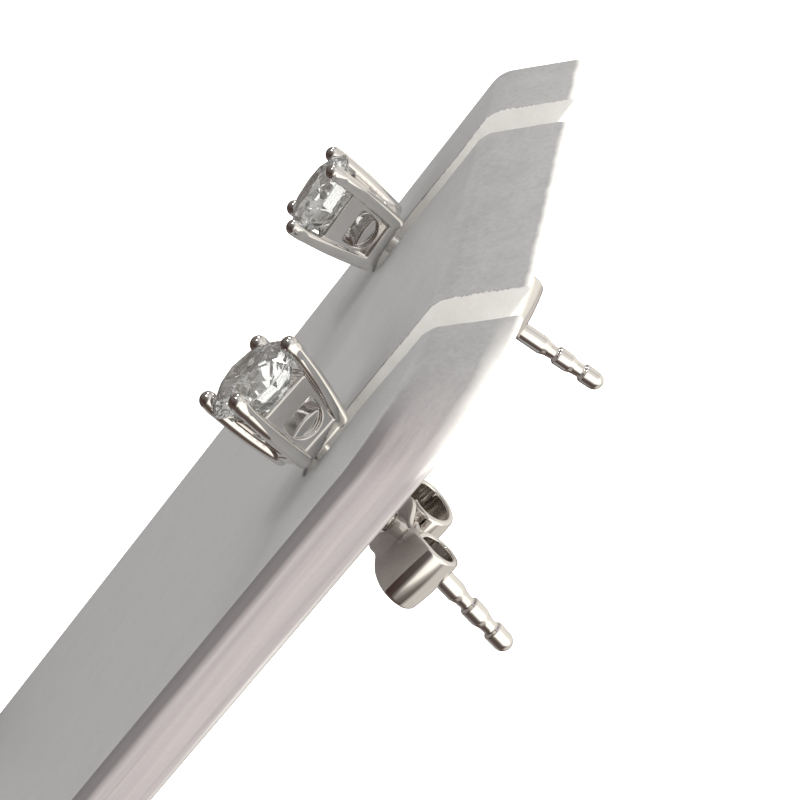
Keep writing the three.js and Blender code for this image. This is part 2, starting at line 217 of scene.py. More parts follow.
# ---------------------------------------------------------------- node helpers
class Nodes:
    def __init__(self, name):
        self.m = bpy.data.materials.new(name)
        self.m.use_nodes = True
        self.t = self.m.node_tree
        self.bsdf = next(n for n in self.t.nodes if n.type == "BSDF_PRINCIPLED")
        self.coords = self.t.nodes.new("ShaderNodeTexCoord")

    def new(self, kind, **values):
        n = self.t.nodes.new("ShaderNode" + kind)
        for k, v in values.items():
            if k in n.inputs:
                n.inputs[k].default_value = v
            else:
                setattr(n, k, v)
        return n

    def link(self, a, b):
        self.t.links.new(a, b)

    def place(self, scale=(1, 1, 1), rotation=(0, 0, 0)):
        n = self.new("Mapping")
        n.inputs["Scale"].default_value = scale
        n.inputs["Rotation"].default_value = rotation
        self.link(self.coords.outputs["Object"], n.inputs["Vector"])
        return n.outputs["Vector"]

    def noise(self, vector, scale, detail=4, rough=0.55, distortion=0.0):
        n = self.new("TexNoise", Scale=scale, Detail=detail, Roughness=rough, Distortion=distortion)
        self.link(vector, n.inputs["Vector"])
        return n.outputs["Fac"]

    def ramp(self, fac, stops):
        n = self.new("ValToRGB")
        e = n.color_ramp.elements
        while len(e) < len(stops):
            e.new(0.5)
        for item, (pos, col) in zip(e, stops):
            item.position = pos
            item.color = (*col, 1) if len(col) == 3 else col
        self.link(fac, n.inputs["Fac"])
        return n.outputs["Color"]

    def range(self, value, a, b, c, d):
        n = self.new("MapRange", **{"From Min": a, "From Max": b, "To Min": c, "To Max": d})
        self.link(value, n.inputs["Value"])
        return n.outputs["Result"]

    def math(self, op, a, b):
        n = self.new("Math", operation=op)
        for i, v in enumerate((a, b)):
            if isinstance(v, (int, float)):
                n.inputs[i].default_value = v
            else:
                self.link(v, n.inputs[i])
        return n.outputs[0]

    def mix(self, fac, a, b, kind="MIX"):
        n = self.new("Mix", data_type="RGBA", blend_type=kind)
        for sock, v in ((n.inputs[0], fac), (n.inputs[6], a), (n.inputs[7], b)):
            if isinstance(v, (int, float)):
                sock.default_value = v
            elif isinstance(v, tuple):
                sock.default_value = (*v, 1) if len(v) == 3 else v
            else:
                self.link(v, sock)
        return n.outputs[2]

    def bump(self, height, strength, distance):
        n = self.new("Bump", Strength=strength, Distance=distance)
        self.link(height, n.inputs["Height"])
        self.link(n.outputs["Normal"], self.bsdf.inputs["Normal"])

    def set(self, **values):
        for k, v in values.items():
            self.bsdf.inputs[k.replace("_", " ")].default_value = v


def srgb(r, g, b):
    def c(x):
        x /= 255
        return x / 12.92 if x <= 0.04045 else ((x + 0.055) / 1.055) ** 2.4
    return (c(r), c(g), c(b))


def scaled(col, k):
    return tuple(c * k for c in col)


# ---------------------------------------------------------------- materials
def gold_material():
    n = Nodes("white_gold_polished")
    n.set(Metallic=1.0, Roughness=0.08)
    fine = n.noise(n.place((1, 1, 0.12)), 2600, 5)          # polishing marks along the metal
    broad = n.noise(n.place(), 700, 3)
    n.link(n.range(fine, 0.3, 0.75, 0.045, 0.11), n.bsdf.inputs["Roughness"])
    n.link(n.ramp(broad, [(0.30, (0.71, 0.685, 0.665)), (0.62, (0.77, 0.755, 0.735)), (0.85, (0.73, 0.70, 0.67))]),
           n.bsdf.inputs["Base Color"])
    n.bump(n.math("ADD", fine, n.math("MULTIPLY", broad, 3.0)), 0.5, 0.0000012)
    return n.m


def stone_material():
    n = Nodes("diamond_clear")
    n.set(IOR=2.417, Roughness=0.0, Transmission_Weight=0.91, Metallic=0.0)
    dust = n.noise(n.place(), 1500, 3)
    n.link(n.ramp(dust, [(0.3, (0.75, 0.765, 0.76)), (0.7, (0.84, 0.855, 0.85))]), n.bsdf.inputs["Base Color"])
    n.link(n.range(dust, 0.35, 0.74, 0.006, 0.045), n.bsdf.inputs["Roughness"])
    return n.m


def girdle_material():
    n = Nodes("diamond_girdle")
    n.set(IOR=2.417, Transmission_Weight=0.75, Metallic=0.0)
    grain = n.noise(n.place(), 9000, 4)
    n.link(n.ramp(grain, [(0.35, (0.72, 0.74, 0.73)), (0.65, (0.9, 0.91, 0.9))]), n.bsdf.inputs["Base Color"])
    n.link(n.range(grain, 0.35, 0.65, 0.25, 0.5), n.bsdf.inputs["Roughness"])
    n.bump(grain, 0.4, 0.000004)
    return n.m


FRONT_GREY = scaled(srgb(165, 166, 167), 0.87)
TOP_GREY = scaled(srgb(177, 177, 178), 0.72)
SIDE_PINK = scaled(srgb(191, 184, 186), 0.705)
# painted dark reflection: darker grey for the rounded front edge of the long sides
EDGE_DARK_REFLECTION_GREY = scaled(srgb(129, 125, 127), 0.655)
# painted shade: darker grey for the back face, which lies in shadow
SHADED_BACK_GREY = scaled(srgb(150, 144, 142), 0.60)
CREAM = scaled(srgb(229, 228, 226), 0.815)
# painted highlight: near white for the rounded back edges where they catch the light
PAINTED_HIGHLIGHT_WHITE = scaled(srgb(243, 241, 238), 0.95)


def cover_zones(n, front):
    """the covering's tones by where the point lies on the board: front, sloping top, long sides with a painted dark
    reflection along their front edge, painted shade on the back face, and painted highlights along the back edges.
    Object coordinates, in metres."""
    at = n.new("SeparateXYZ")
    n.link(n.coords.outputs["Object"], at.inputs[0])
    facing = n.new("SeparateXYZ")
    n.link(n.coords.outputs["Normal"], facing.inputs[0])
    sideways = n.math("ABSOLUTE", facing.outputs[0], 0.0)
    # lengthwise lines of the layered side
    lines = n.noise(n.place((0.3, 1, 0.012)), 5200, 5, 0.7)
    wide = n.noise(n.place((0.3, 1, 0.02)), 1700, 3, 0.6)
    both = n.math("ADD", n.math("MULTIPLY", lines, 0.5), n.math("MULTIPLY", wide, 0.5))
    side = n.mix(1.0, SIDE_PINK, n.ramp(both, [(0.36, (0.86, 0.85, 0.85)), (0.5, (1, 1, 1)), (0.62, (1.12, 1.11, 1.11))]), "MULTIPLY")
    wobble = n.math("MULTIPLY", n.math("SUBTRACT", n.noise(n.place((1, 1, 0.1)), 900, 2), 0.5), 0.00022)
    depth = n.math("ADD", at.outputs[1], wobble)
    height = at.outputs[2]
    # painted dark reflection: a darker band along the front edge of the long sides, narrow and sharp low down, wider
    # and softer towards the top
    near_top = n.range(height, 0.0035, 0.0078, 0.0, 1.0)
    dark_reflection_sharp = n.range(depth, 0.00042, 0.00066, 1.0, 0.0)
    dark_reflection_soft = n.range(depth, 0.0002, 0.0012, 0.75, 0.0)
    dark_reflection_band = n.mix(near_top, dark_reflection_sharp, dark_reflection_soft)
    side = n.mix(dark_reflection_band, side, EDGE_DARK_REFLECTION_GREY)
    # painted highlight: pale strip along the back edge of the long sides
    side = n.mix(n.range(depth, 0.00225, 0.00246, 0.0, 0.8), side, PAINTED_HIGHLIGHT_WHITE)
    # painted highlight: pale patch near the back of the top round the right corner, where the rounded edge catches the
    # light
    right = n.range(at.outputs[0], 0.0090, 0.0118, 0.0, 1.0)
    high = n.range(height, 0.0040, 0.0062, 0.0, 1.0)
    right_corner_highlight = n.math("MULTIPLY", n.math("MULTIPLY", right, high), n.range(depth, 0.00172, 0.00222, 0.0, 0.95))
    slope = n.range(facing.outputs[2], 0.30, 0.58, 0.0, 1.0)
    slope_tone = n.ramp(n.range(depth, 0.0, 0.0024, 0.0, 1.0), [(0.0, scaled(TOP_GREY, 0.93)), (0.55, TOP_GREY), (1.0, scaled(TOP_GREY, 1.06))])
    cloud = n.ramp(n.noise(n.place(), 620, 5, 0.62), [(0.36, (0.945, 0.945, 0.945)), (0.5, (1, 1, 1)), (0.64, (1.05, 1.045, 1.045))])
    pepper = n.ramp(n.noise(n.place(), 4200, 3, 0.7), [(0.34, (0.93, 0.93, 0.93)), (0.5, (1, 1, 1)), (0.66, (1.06, 1.06, 1.06))])
    mottled = n.mix(1.0, cloud, pepper, "MULTIPLY")
    across = n.new("CombineColor")
    for i in range(3):
        n.link(n.range(at.outputs[0], -0.012, 0.012, 1.08, 0.955), across.inputs[i])
    slope_tone = n.mix(1.0, slope_tone, across.outputs[0], "MULTIPLY")
    out = n.mix(slope, front, slope_tone)
    out = n.mix(n.range(height, 0.0, 0.007, 0.35, 1.0), out, n.mix(1.0, out, mottled, "MULTIPLY"))
    sides = n.math("MULTIPLY", n.range(sideways, 0.30, 0.85, 0.0, 1.0), n.range(height, 0.0052, 0.0082, 1.0, 0.35))
    sharp = n.range(sideways, 0.25, 0.45, 0.0, 1.0)
    out = n.mix(n.mix(n.range(height, 0.002, 0.006, 0.0, 1.0), sharp, sides), out, side)
    # height of the top edge at the back, which drops round the right corner
    past = n.math("MAXIMUM", n.math("SUBTRACT", at.outputs[0], (BOARD_W / 2 - RIGHT_CORNER_R) * MM), 0.0)
    left = n.math("MAXIMUM", n.math("SUBTRACT", (RIGHT_CORNER_R * MM) ** 2, n.math("MULTIPLY", past, past)), 0.0)
    crest = n.math("ADD", n.math("SQRT", left, 0.0), (FOLD_H + TOP_COT * BOARD_T - RIGHT_CORNER_R) * MM)
    # painted highlight: the back face just below the top edge is painted near white
    back_rim_highlight = n.math("MULTIPLY", n.range(facing.outputs[1], 0.02, 0.45, 0.0, 1.0), n.range(n.math("SUBTRACT", height, crest), -0.0011, -0.0005, 0.0, 1.0))
    # painted shade: the back face lower down is painted a darker grey
    painted_back_shade = n.math("MULTIPLY", n.range(facing.outputs[1], 0.6, 0.95, 0.0, 1.0), n.range(n.math("SUBTRACT", height, crest), -0.0030, -0.0011, 1.0, 0.0))
    out = n.mix(painted_back_shade, out, n.mix(1.0, mottled, SHADED_BACK_GREY, "MULTIPLY"))
    out = n.mix(back_rim_highlight, out, PAINTED_HIGHLIGHT_WHITE)
    # painted highlight: pale rim along the back edge of the sloping top
    under = n.math("SUBTRACT", height, crest)
    slope_rim_highlight = n.math("MULTIPLY", n.range(depth, 0.00218, 0.00236, 0.0, 1.0), n.range(under, -0.0011, -0.0006, 0.0, 1.0))
    right_corner_highlight = n.math("MULTIPLY", right_corner_highlight, n.range(under, -0.0022, -0.0010, 0.0, 1.0))
    out = n.mix(slope_rim_highlight, out, PAINTED_HIGHLIGHT_WHITE)
    return n.mix(right_corner_highlight, out, PAINTED_HIGHLIGHT_WHITE)


def card_material(name, colour, spread=0.03, streak=0.0, specks=0.0, rough=(0.42, 0.6), grain=0.5, zones=False):
    """matt covered board: faint mottling, very fine grain, optional lengthwise lines and small dark specks"""
    n = Nodes(name)
    n.set(Metallic=0.0, IOR=1.45)
    n.bsdf.inputs["Specular IOR Level"].default_value = 0.35
    mottle = n.noise(n.place(), 420, 4)
    fine = n.noise(n.place(), 7000, 3)
    colour_out = n.ramp(mottle, [(0.3, scaled(colour, 1 - spread)), (0.5, colour), (0.72, scaled(colour, 1 + spread))])
    fine_tone = n.range(fine, 0.25, 0.75, 0.97, 1.03)
    grey = n.new("CombineColor")
    for i in range(3):
        n.link(fine_tone, grey.inputs[i])
    if zones:
        colour_out = cover_zones(n, colour_out)
    colour_out = n.mix(1.0, colour_out, grey.outputs[0], "MULTIPLY")
    height = n.math("MULTIPLY", fine, grain)
    if streak:
        lines = n.noise(n.place((1, 1, 0.012)), 5200, 5, 0.7)
        wide = n.noise(n.place((1, 1, 0.02)), 1700, 3, 0.6)
        both = n.math("ADD", n.math("MULTIPLY", lines, 0.5), n.math("MULTIPLY", wide, 0.5))
        colour_out = n.mix(1.0, colour_out, n.ramp(both, [
            (0.34, scaled((1, 0.985, 0.98), 1 - streak)), (0.5, (1, 1, 1)), (0.64, scaled((1, 0.985, 0.985), 1 + streak))]), "MULTIPLY")
        height = n.math("ADD", height, n.math("MULTIPLY", both, 6.0))
    if specks:
        spots = n.new("TexVoronoi", Scale=260.0, Randomness=1.0)
        n.link(n.place(), spots.inputs["Vector"])
        pick = n.noise(n.place(), 180, 2)
        near = n.range(spots.outputs["Distance"], 0.03, 0.085, 1.0, 0.0)
        amount = n.math("MULTIPLY", near, n.range(pick, 0.60, 0.66, 0.0, specks))
        colour_out = n.mix(amount, colour_out, scaled(colour, 0.55))
    n.link(colour_out, n.bsdf.inputs["Base Color"])
    n.link(n.range(fine, 0.3, 0.7, *rough), n.bsdf.inputs["Roughness"])
    n.bump(height, 0.35, 0.000012)
    return n.m


GOLD = gold_material()
STONE = stone_material()
GIRDLE = girdle_material()
COVER = card_material("card_cover", FRONT_GREY, 0.022, specks=0.5, zones=True)
FRONT = card_material("card_front", FRONT_GREY, 0.022, specks=0.5)
WALL = card_material("card_slot_wall", CREAM, 0.035, rough=(0.5, 0.7), grain=0.9)

# ---------------------------------------------------------------- settings
BOW = 0.07


def post_radius(e):
    """radius at distance e from the post's end: two notches, each with one steep and one long side"""
    at = [0.40, 1.04, 1.14, 1.22, 1.57, 1.80, 2.46, 2.57, 2.65, 3.00, 3.24, 20]
    r = [0.42, 0.43, 0.315, 0.305, 0.335, 0.42, 0.43, 0.31, 0.30, 0.335, 0.42, 0.42]
    return np.interp(e, at, r)


_e = np.linspace(0, 4, 1601)
_kernel = np.exp(-0.5 * (np.arange(-40, 41) * 0.0025 / 0.025) ** 2)
_r = np.convolve(np.pad(post_radius(_e), 40, "edge"), _kernel / _kernel.sum(), "valid")
_slope = np.gradient(_r, _e)


def setting_field(x, y, z):
    ax, ay = np.abs(x), np.abs(y)
    rho = np.hypot(x, y)
    zc = np.clip(z, 0, TIP_Z)
    side = PRONG_BASE + (PRONG_TIP - PRONG_BASE) * zc / TIP_Z + BOW * np.sin(np.pi * zc / TIP_Z)
    # corner prongs, a little closer to the stone at the tips
    s = side - 0.05 * smoothstep(3.2, TIP_Z, z)
    over = np.maximum(z - TIP_Z, 0)
    prong = np.sqrt((ax - s) ** 2 + (ay - s) ** 2 + over ** 2) - PRONG_R - 0.045 * smoothstep(3.1, 3.62, z)
    # tapered walls with a rail along the top and a small window in each side
    m = smax(ax, ay, 0.12)
    outer = m - (side + 0.15 - 0.17 * smoothstep(0.30, 1.1, z))
    wall = smax(outer, side + 0.16 - WALL_T - m, 0.10)
    wall = smax(wall, z - RAIL_TOP, 0.14)
    u = np.minimum(ax, ay)
    low = np.maximum(1.42 - z, 0) / (1.42 - SILL)
    window = (np.hypot(u / WINDOW_HALF, low) - 1) * 0.62
    window = smax(window, z - WINDOW_TOP, 0.16)
    window = np.maximum(window, 0.3 - np.maximum(ax, ay))
    wall = smax(wall, -window, 0.09)
    base = smax(outer, z - BASE_PLATE, 0.10)
    core = smax(m - (side + 0.20 - WALL_T), z - FLOOR_Z - 0.48 * smoothstep(1.4, 0.2, rho), 0.12)
    body = smin(smin(wall, base, 0.10), core, 0.06)
    body = smin(body, prong, 0.06)
    body = smax(body, -z, 0.26)
    # seat cut to the stone
    h = z - GIRDLE_Z
    gap = 0.022
    seat = np.maximum(rho - (STONE_R + gap), np.maximum(
        (rho - STONE_R) * 0.5455 + (h - GIRDLE_T / 2) * 0.838 - gap,
        (rho - STONE_R) * 0.652 - (h + GIRDLE_T / 2) * 0.758 - gap))
    body = smax(body, -seat, 0.03)
    # the post, soldered to the base
    e = z + POST_L
    ec = np.clip(e, 0, 4)
    rod = (rho - np.interp(ec, _e, _r)) / np.sqrt(1 + np.interp(ec, _e, _slope) ** 2)
    dome = (np.sqrt((rho / POST_R) ** 2 + ((0.46 - e) / 0.46) ** 2 + 1e-9) - 1) * POST_R
    rod = np.where(e < 0.46, dome, rod)
    rod = np.maximum(rod, z - 0.35)
    return smin(body, rod, 0.16)


head_v, head_f, head_n = surface(
    setting_field,
    spaced((-2.08, 2.08, 0.04)), spaced((-2.08, 2.08, 0.04)),
    spaced((-POST_L - 0.12, -8.0, 0.045), (-8.0, -0.4, 0.09), (-0.4, 4.2, 0.04)))

for side_name, stud in STUDS.items():
    head, _ = stud_frames(stud)
    o = make_object(f"setting_{side_name}_polished", head_v, head_f, head, [GOLD], head_n)
    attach(o, "stand")
    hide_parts(f"setting_{side_name}")


# ---------------------------------------------------------------- stones
def brilliant():
    """round brilliant with flat facets: table, 8 stars, 8 kites, 16 upper halves, scalloped girdle, 16 lower halves, 8 mains"""
    R, t = STONE_R, GIRDLE_T / 2
    top = t + CROWN_H * R
    tan_c = CROWN_H / (1 - TABLE_R)
    tan_p = PAVILION_H
    c22 = math.cos(rad(22.5))
    rs = (TABLE_R * c22 + 0.52 * (1 - TABLE_R * c22)) * R
    zs = t + (R - rs * c22) * tan_c
    rj = 0.22 * R
    zj = -t - (R - rj * c22) * tan_p

    def at(r, deg, z):
        return np.array([r * math.cos(rad(deg)), r * math.sin(rad(deg)), z])

    def height(p, q, s, x, y):
        n = np.cross(q - p, s - p)
        return p[2] - (n[0] * (x - p[0]) + n[1] * (y - p[1])) / n[2]
    steps = 12
    table = [at(TABLE_R * R, 45 * i, top) for i in range(8)]
    star = [at(rs, 45 * i + 22.5, zs) for i in range(8)]
    joint = [at(rj, 45 * i + 22.5, zj) for i in range(8)]
    upper, lower = [], []
    for j in range(8 * steps):
        deg = 45 * j / steps
        i = j // steps
        first = j % steps < steps / 2
        a = 45 * i + (0 if first else 22.5)
        x, y = R * math.cos(rad(deg)), R * math.sin(rad(deg))
        upper.append(np.array([x, y, height(at(R, a, t), at(R, a + 22.5, t), star[i], x, y)]))
        lower.append(np.array([x, y, height(at(R, a, -t), at(R, a + 22.5, -t), joint[i], x, y)]))
    pts = table + star + joint + upper + lower + [np.array([0, 0, -t - PAVILION_H * R])]
    T, S, J, U, L = 0, 8, 16, 24, 24 + 8 * steps
    C = len(pts) - 1
    n = 8 * steps
    faces, index = [[T + i for i in range(8)]], [0]

    def add(face, m=0):
        faces.append(face)
        index.append(m)
    half = steps // 2
    for i in range(8):
        k = i * steps
        add([T + i, S + i, T + (i + 1) % 8][::-1])
        add([T + i, S + (i - 1) % 8, U + k, S + i])
        add([S + i] + [U + (k + j) % n for j in range(half + 1)])
        add([S + i] + [U + (k + half + j) % n for j in range(half + 1)])
        add([J + i] + [L + (k + j) % n for j in range(half, -1, -1)])
        add([J + i] + [L + (k + half + j) % n for j in range(half, -1, -1)])
        add([C, J + i, L + k, J + (i - 1) % 8])
    for j in range(n):
        add([L + j, L + (j + 1) % n, U + (j + 1) % n, U + j], 1)
    pts = np.array(pts)
    mid = np.array([0, 0, -0.3])
    out = []
    for face in faces:
        p = pts[face]
        normal = sum(np.cross(p[i] - p[0], p[i + 1] - p[0]) for i in range(1, len(face) - 1))
        out.append(face if normal @ (p.mean(0) - mid) > 0 else face[::-1])
    return pts, out, index


stone_v, stone_f, stone_i = brilliant()
for side_name, stud in STUDS.items():
    head, _ = stud_frames(stud)
    lift = np.eye(4)
    lift[2, 3] = GIRDLE_Z
    o = make_object(f"stone_{side_name}_brilliant", stone_v, stone_f, head @ lift, [STONE, GIRDLE], index=stone_i, smooth=False)
    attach(o, "stand")
    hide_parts(f"diamond_{side_name}")

# ---------------------------------------------------------------- ear nuts
SCROLL = [(-90, 1.42, 1.08), (-45, 1.425, 1.075), (0, 1.41, 1.06), (45, 1.35, 1.045), (90, 1.25, 1.02), (135, 1.13, 0.93),
          (180, 1.00, 0.82), (225, 0.83, 0.69), (270, 0.66, 0.56), (345, 0.44, 0.40)]


def strip_line():
    """centre line of half a strip: flat plate from the post outwards, then the scroll; by arc length"""
    a = np.linspace(-90, 345, 1200)
    col = np.array(SCROLL, float)
    rx, ry = np.interp(a, col[:, 0], col[:, 1]), np.interp(a, col[:, 0], col[:, 2])
    k = np.exp(-0.5 * (np.arange(-90, 91) / 40) ** 2)
    k /= k.sum()
    rx, ry = (np.convolve(np.pad(r, 90, "edge"), k, "valid") for r in (rx, ry))
    x = SCROLL_X + rx * np.cos(np.radians(a))
    y = SCROLL_Y + ry * np.sin(np.radians(a))
    x, y = np.concatenate([np.linspace(-0.4, SCROLL_X, 300)[:-1], x]), np.concatenate([np.full(299, y[0]), y])
    s = np.concatenate([[0], np.cumsum(np.hypot(np.diff(x), np.diff(y)))])
    fine = np.linspace(0, s[-1], 4000)
    x, y = np.interp(fine, s, x), np.interp(fine, s, y)
    k = np.exp(-0.5 * (np.arange(-60, 61) / 26) ** 2)
    k /= k.sum()
    ang = np.unwrap(np.arctan2(np.gradient(y), np.gradient(x)))
    ang = np.convolve(np.pad(ang, 60, "edge"), k, "valid")
    start = np.searchsorted(fine, 0.4)
    return fine[start:] - fine[start], x[start:], y[start:], ang[start:]


line_s, line_x, line_y, line_a = strip_line()
STRIP_END = line_s[-1]


def half_width(s):
    """lobed strip: round middle, neck, wide ears, narrower tongue"""
    s = np.abs(s)
    at = [0, 0.45, 0.85, 1.30, 1.75, 2.3, 3.0, 4.2, 5.2, 6.2, 7.2, 8.2, 9.2, 12]
    w = [1.24, 1.20, 1.05, 0.93, 1.00, 1.14, 1.24, 1.25, 1.22, 1.12, 0.98, 0.86, 0.78, 0.74]
    return np.interp(s, at, w)


_ws = np.linspace(0, STRIP_END + 1, 800)
_kw = np.exp(-0.5 * (np.arange(-40, 41) * (_ws[1]) / 0.20) ** 2)
_ww = np.convolve(np.pad(half_width(_ws), 40, "reflect"), _kw / _kw.sum(), "valid")
_wd = np.gradient(_ww, _ws)


def strip_field(s, v, n):
    a = np.abs(s)
    w, d = np.interp(a, _ws, _ww), np.interp(a, _ws, _wd)
    side = (np.abs(v) - w) / np.sqrt(1 + d * d)
    flat = round_max(side, a - (STRIP_END - 0.02), 0.34)
    flat = np.maximum(flat, NUT_HOLE_R - np.hypot(s, v))
    thick = NUT_T / 2 - 0.10 * smoothstep(0.6, 0.0, STRIP_END - a) * 0.5
    r = 0.105
    p, q = flat + r, np.abs(n) - thick + r
    return np.hypot(np.maximum(p, 0), np.maximum(q, 0)) + np.minimum(np.maximum(p, q), 0) - r


nut_p, nut_f, _ = surface(
    strip_field,
    spaced((-STRIP_END - 0.12, -1.4, 0.065), (-1.4, 1.4, 0.045), (1.4, STRIP_END + 0.12, 0.065)),
    spaced((-1.36, 1.36, 0.05)), spaced((-0.2, 0.2, 0.04)))


def bend(p):
    s, v, n = p.T
    a = np.abs(s)
    w = np.interp(a, _ws, _ww)
    # the middle bows towards the board round the hole, the ears are slightly domed across
    n = n + 0.11 * np.exp(-(a / 0.95) ** 2) * np.exp(-(v / 1.3) ** 2)
    n = n + 0.045 * smoothstep(0.72, 0.5, np.hypot(s, v))
    n = n - 0.075 * (v / w) ** 2 * smoothstep(1.2, 3.0, a)
    ang = np.interp(a, line_s, line_a)
    x = np.interp(a, line_s, line_x) + n * np.sin(ang)
    y = np.interp(a, line_s, line_y) - n * np.cos(ang)
    over = np.maximum(a - line_s[-1], 0)
    x, y = x + over * np.cos(ang), y + over * np.sin(ang)
    return np.stack([x * np.sign(s + 1e-12), y + NUT_T / 2, v], 1)


nut_v = bend(nut_p)
nut_faces = nut_f[:, ::-1]
for side_name, stud in STUDS.items():
    _, nut = stud_frames(stud)
    o = make_object(f"ear_nut_{side_name}_scrolls", nut_v, nut_faces, nut, [GOLD])
    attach(o, f"nut_{side_name}")
    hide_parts(f"ear_nut_{side_name}")


# ---------------------------------------------------------------- display stand
def stand_field(x, y, z):
    rise = 1 / math.hypot(1, TOP_COT)
    # outline seen from the front, sheared along the sloping top, with rounded ends
    px, pz = np.abs(x) - BOARD_W / 2, z - FOLD_H - TOP_COT * y
    corner = np.where(x > 0, RIGHT_CORNER_R, LEFT_CORNER_R)
    p, q = np.maximum(px + corner, 0), np.maximum(pz + corner, 0)
    top = np.minimum(-corner, np.maximum(px, pz)) + np.hypot(p, q)
    top = top / np.sqrt(1 + (TOP_COT * q) ** 2 / np.maximum(p * p + q * q, 1e-6))
    soft = 0.05 + 0.30 * smoothstep(5.0, 7.5, z)     # the front edges are softer towards the top
    d = round_max(px, -y, FRONT_R)
    d = round_max(d, y - BOARD_T, BACK_R)
    d = smax(d, top, 0.05)
    fold = round_max(np.maximum(pz * rise, top), -y, soft)
    # the back edge is rounder round the right corner
    full = CREST_R + 0.1 + 0.24 * smoothstep(8.0, 12.0, x) + 0.12 * smoothstep(-13.0, -13.6, x)
    crest = round_max(np.maximum(pz * rise, top), y - BOARD_T, full)
    d = np.maximum(d, np.maximum(fold, crest))
    d = np.maximum(d, -(z + POST_LEVEL - 0.95))
    # slots: a cut edge, slightly uneven where it crosses the sloping top
    rag = 0.014 * np.sin(2.3 * z + 1.1 * y + 2 * np.sign(x)) + 0.010 * np.sin(5.9 * z + 2.7 * y + 1) + 0.006 * np.sin(13.1 * z - 4 * y)
    rag = rag * smoothstep(0.5, 4.0, z)
    at_front = smoothstep(1.2, 0.0, y)
    rag = rag + at_front * np.where(x > 0,
        np.where(x > SLOT_X, 0.30 * smoothstep(0.6, 2.6, z) * smoothstep(6.4, 3.2, z), 0.10 * smoothstep(3.5, 5.5, z)),
        np.where(x < -SLOT_X, 0.24 * smoothstep(1.6, 4.8, z) * smoothstep(7.7, 5.2, z), 0.10 * smoothstep(1.5, 3, z) * smoothstep(4.2, 3.4, z)))
    u = np.abs(np.abs(x) - SLOT_X)
    slot = np.where(z > SLOT_END_Z, u, np.hypot(u, np.minimum(z - SLOT_END_Z, 0))) - SLOT_W / 2 + rag
    return round_max(d, -slot, 0.09)


h = SLOT_W / 2
xs_half = [(SLOT_X - h - 0.3, SLOT_X - h + 0.2, 0.05), (SLOT_X - h + 0.2, SLOT_X + h - 0.2, 0.09),
           (SLOT_X + h - 0.2, SLOT_X + h + 0.3, 0.05), (SLOT_X + h + 0.3, 13.1, 0.14), (13.1, 13.85, 0.055)]
xs = spaced(*[(-b, -a, s) for a, b, s in xs_half[::-1]], (-(SLOT_X - h - 0.3), SLOT_X - h - 0.3, 0.5), *xs_half)
ys = spaced((-0.10, 0.50, 0.05), (0.50, 1.90, 0.125), (1.90, 2.60, 0.05))
zs = spaced((-41.3, -40.7, 0.15), (-40.7, -1.8, 0.75), (-1.8, 0.4, 0.08), (0.4, 2.0, 0.2), (2.0, 5.4, 0.12), (5.4, 10.4, 0.075))
board_v, board_f, board_n = surface(stand_field, xs, ys, zs)

mid = board_v[board_f].mean(1)
fn = board_n[board_f].mean(1)
fn /= np.linalg.norm(fn, axis=1)[:, None]
u = np.abs(np.abs(mid[:, 0]) - SLOT_X)
slot_d = np.where(mid[:, 2] > SLOT_END_Z, u, np.hypot(u, np.minimum(mid[:, 2] - SLOT_END_Z, 0))) - h
n_slope = np.array([0, -TOP_COT, 1]) / math.hypot(1, TOP_COT)
index = ((slot_d < 0.06) & (slot_d > -0.25) & (np.abs(fn[:, 1]) < 0.72) & ((fn @ n_slope) < 0.70)).astype(int)
board = make_object("display_board", board_v, board_f, BOARD, [COVER, WALL], board_n, index)
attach(board, "stand")
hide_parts("display_stand")


def rounded_plate(half_x, half_y, corner, levels, arc=10):
    """plate built of rounded rectangles: levels are (height, inset)"""
    pts, faces = [], []
    for z, inset in levels:
        r = corner - inset
        for cx, cy, start in ((1, 1, 0), (-1, 1, 90), (-1, -1, 180), (1, -1, 270)):
            for i in range(arc + 1):
                a = rad(start + 90 * i / arc)
                pts.append(((half_x - corner) * cx + r * math.cos(a), (half_y - corner) * cy + r * math.sin(a), z))
    n = 4 * (arc + 1)
    for k in range(len(levels) - 1):
        for i in range(n):
            j = (i + 1) % n
            faces.append((k * n + i, k * n + j, (k + 1) * n + j, (k + 1) * n + i))
    faces.append(tuple(range(n - 1, -1, -1)))
    faces.append(tuple(range((len(levels) - 1) * n, len(levels) * n)))
    return pts, faces


levels = [(0.0, 0.16), (0.05, 0.05), (0.16, 0.0)]
levels += [(FOOT_T - 0.45 + 0.45 * math.sin(rad(a)), 0.45 - 0.45 * math.cos(rad(a))) for a in (0, 15, 30, 45, 60, 75, 90)]
foot_p, foot_f = rounded_plate(BOARD_W / 2, FOOT_D / 2, FOOT_CORNER, levels)
foot = make_object("display_foot", foot_p, foot_f, np.eye(4), [FRONT])
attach(foot, "stand")

# ---------------------------------------------------------------- floor, light and camera
floor_mesh = bpy.data.meshes.new("floor")
floor_mesh.from_pydata([(-1.6, -1.6, 0), (1.6, -1.6, 0), (1.6, 1.6, 0), (-1.6, 1.6, 0)], [], [(0, 1, 2, 3)])
floor = bpy.data.objects.new("floor", floor_mesh)
bpy.context.scene.collection.objects.link(floor)
nf = Nodes("floor_pale")
nf.set(Roughness=0.9, Emission_Color=(1, 1, 1, 1), Emission_Strength=0.75)
nf.bsdf.inputs["Specular IOR Level"].default_value = 0.1
nf.link(nf.ramp(nf.noise(nf.place(), 40, 3), [(0.3, (0.93, 0.93, 0.93)), (0.7, (0.95, 0.95, 0.95))]), nf.bsdf.inputs["Base Color"])
floor_mesh.materials.append(nf.m)


